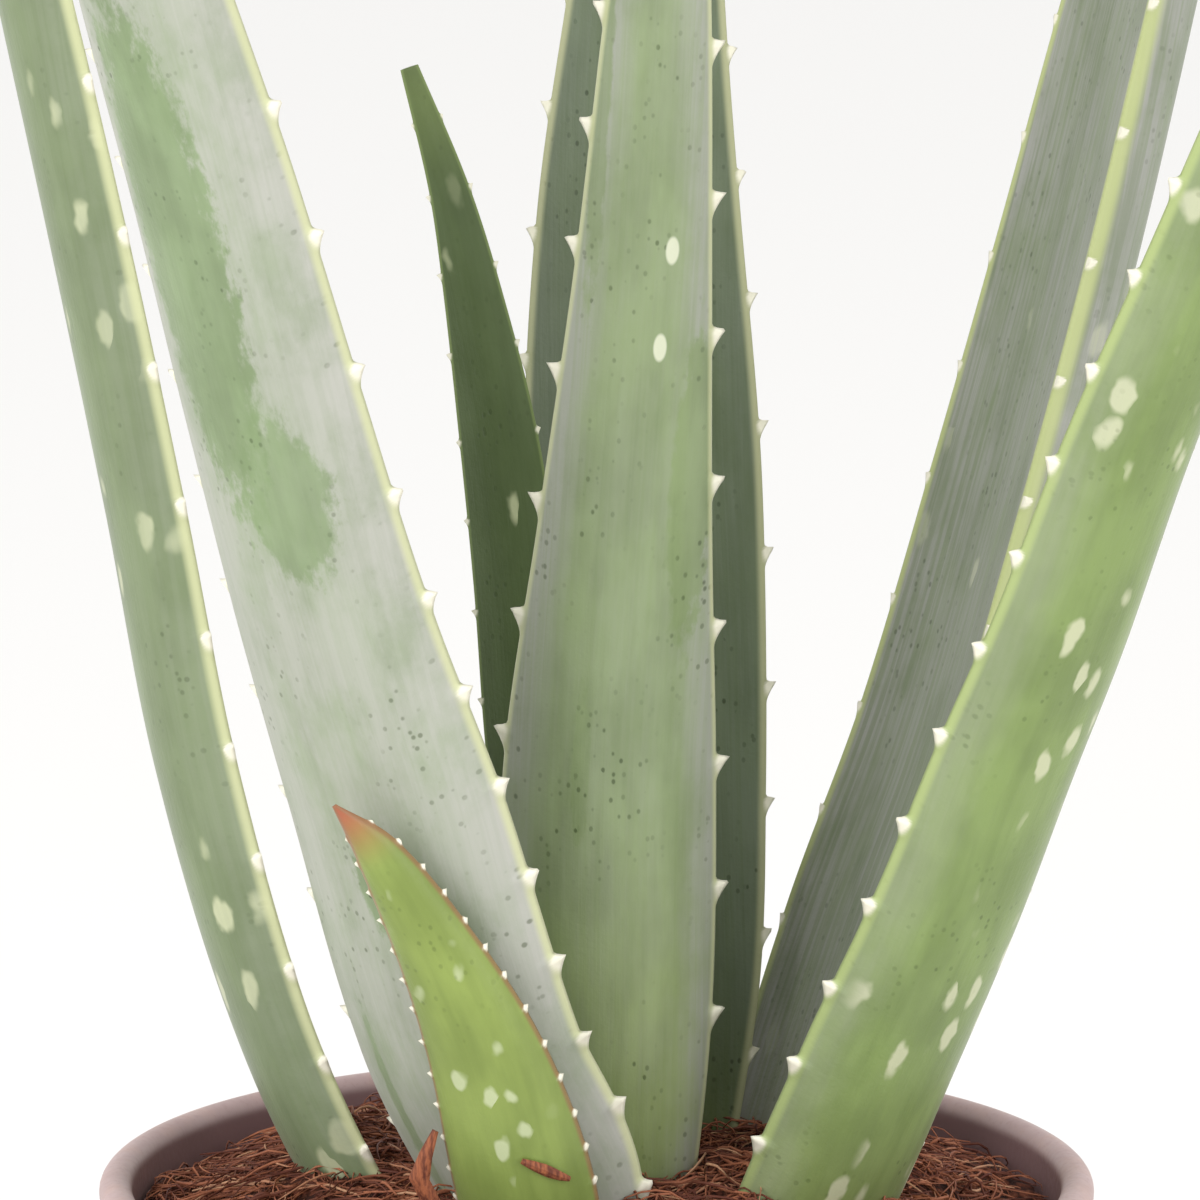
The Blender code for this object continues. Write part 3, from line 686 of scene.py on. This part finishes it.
def make_mound():
    """Rings half a millimetre apart, closed underneath by a plain plug that the pot hides."""
    radii = np.linspace(0.8 * MM, SOIL_RADIUS, 130)
    angle = np.linspace(0, 2 * np.pi, 420, endpoint=False)
    x, y = radii[:, None] * np.cos(angle), radii[:, None] * np.sin(angle)
    top = np.stack([x, y, mound(x, y)], axis=-1)
    deep = [(SOIL_RADIUS - 1 * MM, POT_HEIGHT - 30 * MM), (50 * MM, FLOOR + 1 * MM)]
    lower = [np.stack([r * np.cos(angle), r * np.sin(angle), 0 * angle + h], axis=-1) for r, h in deep]
    grid = np.concatenate([top, lower])
    rows, columns = grid.shape[:2]
    faces = closed_grid_faces(rows, columns)[:, ::-1].tolist()
    first, last, end = rows * columns, rows * columns + 1, (rows - 1) * columns
    faces += [(first, k, (k + 1) % columns) for k in range(columns)]
    faces += [(last, end + (k + 1) % columns, end + k) for k in range(columns)]
    poles = [(0, 0, float(mound(np.zeros(1), np.zeros(1))[0])), (0, 0, FLOOR + 1 * MM)]
    return new_piece("coir_mound", np.vstack([grid.reshape(-1, 3), poles]), faces)


soil = make_mound()
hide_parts("potting_soil")
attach(soil, "root")

# %% The coir fibres
FIBRES = 5200
FIBRE_POINTS = 7


def make_fibres():
    """Ribbons with a triangular section. Each follows an arc on the mound: its heading turns evenly along it,
    its height is the mound's plus a low random arch, and it thins to both ends."""
    count = FIBRES
    radius = np.sqrt(RNG.random(count)) * (SOIL_RADIUS - 1 * MM)
    turn = RNG.random(count) * 2 * np.pi
    length = RNG.gamma(3.0, 3.2 * MM, count).clip(3 * MM, 24 * MM)
    thick = RNG.uniform(0.10, 0.26, count) * MM
    heading = RNG.random(count) * 2 * np.pi
    bend = RNG.normal(0, 1.5, count)
    t = np.linspace(0, 1, FIBRE_POINTS)
    way = heading[:, None] + bend[:, None] * (t - 0.5)
    step = length[:, None] / (FIBRE_POINTS - 1)
    x = radius[:, None] * np.cos(turn)[:, None] + np.cumsum(np.cos(way) * step, axis=1) - length[:, None] / 2
    y = radius[:, None] * np.sin(turn)[:, None] + np.cumsum(np.sin(way) * step, axis=1)
    reach = np.hypot(x, y)
    shrink = np.minimum(1, (INNER_RIM - 1.2 * MM) / np.maximum(reach, 1e-6))
    x, y = x * shrink, y * shrink
    arch = np.abs(RNG.normal(0, 0.9, count))[:, None] * MM * np.sin(np.pi * t) + RNG.uniform(0, 0.7, count)[:, None] * MM
    z = mound(x, y) * 0.4 + (mound(x, y).mean(axis=1, keepdims=True)) * 0.6 + arch
    z = np.maximum(z, mound(x, y) - 0.2 * MM)
    path = np.stack([x, y, z], axis=-1)
    along = unit(np.gradient(path, axis=1))
    aside = unit(np.cross(along, (0, 0, 1.0)))
    over = np.cross(aside, along)
    swell = (thick[:, None] * (0.35 + 0.65 * np.sin(np.pi * np.clip(t, 0.04, 0.96))))[..., None]
    corner = [np.cos(a) * aside + np.sin(a) * over for a in np.radians([90, 210, 330])]
    points = path[:, :, None] + np.stack(corner, axis=2) * swell[..., None, :]
    k = np.arange(FIBRE_POINTS * 3).reshape(FIBRE_POINTS, 3)
    quads = np.stack([k[:-1], k[1:], np.roll(k[1:], -1, 1), np.roll(k[:-1], -1, 1)], -1).reshape(-1, 4)
    start = (np.arange(count) * FIBRE_POINTS * 3)[:, None, None]
    sides = (quads[None] + start).reshape(-1, 4).tolist()
    caps = (np.array([[0, 1, 2], [k[-1][2], k[-1][1], k[-1][0]]])[None] + start).reshape(-1, 3).tolist()
    made = new_piece("coir_fibres", points, sides + caps)
    shade = np.repeat(RNG.random(count), FIBRE_POINTS * 3).astype(np.float32)
    made.data.attributes.new("shade", "FLOAT", "POINT").data.foreach_set("value", shade)
    return made


fibres = make_fibres()
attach(fibres, "root")
print(FIBRES, "fibres,", len(fibres.data.polygons), "faces")


# %% The mix's finish
def coir_pith():
    """Damp chopped husk: dark red-brown crumbs, with paler dry ones on top."""
    s = Shader("damp_coir_pith", IOR=1.45, Metallic=0.0, Specular_IOR_Level=0.25)
    place = s.add("ShaderNodeTexCoord", out=3)
    crumbs = s.add("ShaderNodeTexVoronoi", {"Vector": place, "Scale": 1 / (1.3 * MM)}).node
    pick = s.add("ShaderNodeSeparateColor", {0: crumbs.outputs["Color"]})
    fine = s.noise(place, 1 / (0.7 * MM), 4.0)
    colour = s.mix(pick, rgb("3E221B"), rgb("74402E"))
    colour = s.mix(s.ramp(fine, 0.5, 0.75, 0.0, 0.6), colour, rgb("9A6248"))
    # Painted shade: the gaps between crumbs, far from each cell's centre, are darkened to near black.
    colour = s.mix(s.ramp(crumbs.outputs["Distance"], 0.35, 0.75, 0.0, 0.8), colour, rgb("24130F"))
    s.fill(s.principled, {"Base Color": colour, "Roughness": 0.9})
    relief = s.math("MULTIPLY_ADD", fine, 0.6, s.math("MULTIPLY", crumbs.outputs["Distance"], -0.8))
    s.fill(s.principled, {"Normal": s.bump(relief, 0.8 * MM, 0.9)})
    return s.material


def coir_fibre():
    """Dry husk fibre: each strand has its own shade from dark red-brown to straw."""
    s = Shader("dry_coir_fibre", IOR=1.5, Metallic=0.0, Roughness=0.6, Specular_IOR_Level=0.35)
    shade = s.add("ShaderNodeAttribute", attribute_name="shade", out=2)
    place = s.add("ShaderNodeTexCoord", out=3)
    colour = s.mix(s.ramp(shade, 0.1, 0.9), rgb("5A2C1F"), rgb("A8684A"))
    colour = s.mix(s.ramp(shade, 0.86, 1.0), colour, rgb("C99A78"))
    patches = s.noise(place, 1 / (2 * MM), 2.0)
    colour = s.mix(s.ramp(patches, 0.4, 0.7, 0.0, 0.5), colour, rgb("6E3A28"))
    s.fill(s.principled, {"Base Color": colour})
    s.fill(s.principled, {"Normal": s.bump(patches, 0.1 * MM, 0.4)})
    return s.material


soil.data.materials.append(coir_pith())
fibres.data.materials.append(coir_fibre())


# %% [markdown]
# ## Crown and dry scraps
#
# The crown is buried, so its plain solid stays, with a corky skin. The two dry scraps keep their solids too:
# they are thin papery husk, cracked lengthwise.

# %% Crown and scraps
def corky_crown():
    """Old stem tissue: tan, corky and matte."""
    s = Shader("corky_crown", Roughness=0.8, Metallic=0.0)
    place = s.add("ShaderNodeTexCoord", out=3)
    bark = s.noise(place, 1 / (3 * MM), 5.0)
    s.fill(s.principled, {"Base Color": s.mix(s.ramp(bark, 0.35, 0.65), rgb("8A7A55"), rgb("6A5438"))})
    s.fill(s.principled, {"Normal": s.bump(bark, 0.5 * MM, 0.8)})
    return s.material


def dry_husk():
    """Dead leaf sheath, dried to red-brown paper with darker cracks."""
    s = Shader("dry_leaf_husk", Roughness=0.7, Metallic=0.0, IOR=1.45)
    place = s.add("ShaderNodeTexCoord", out=3)
    cracks = s.noise(s.stretched(place, (1 / (0.5 * MM), 1 / (0.5 * MM), 1 / (2.5 * MM))), 1.0, 4.0)
    colour = s.mix(s.ramp(cracks, 0.3, 0.7), rgb("5E2E20"), rgb("A4603E"))
    s.fill(s.principled, {"Base Color": colour})
    s.fill(s.principled, {"Normal": s.bump(cracks, 0.3 * MM, 0.8)})
    return s.material


def dress(node, finish):
    """Puts a finish on a construction node's own solid."""
    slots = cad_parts[node].data.materials
    if len(slots):
        for index in range(len(slots)):
            slots[index] = finish
    else:
        slots.append(finish)


dress("stem", corky_crown())
husk = dry_husk()
dress("dry_sheath", husk)
dress("dry_fibre", husk)
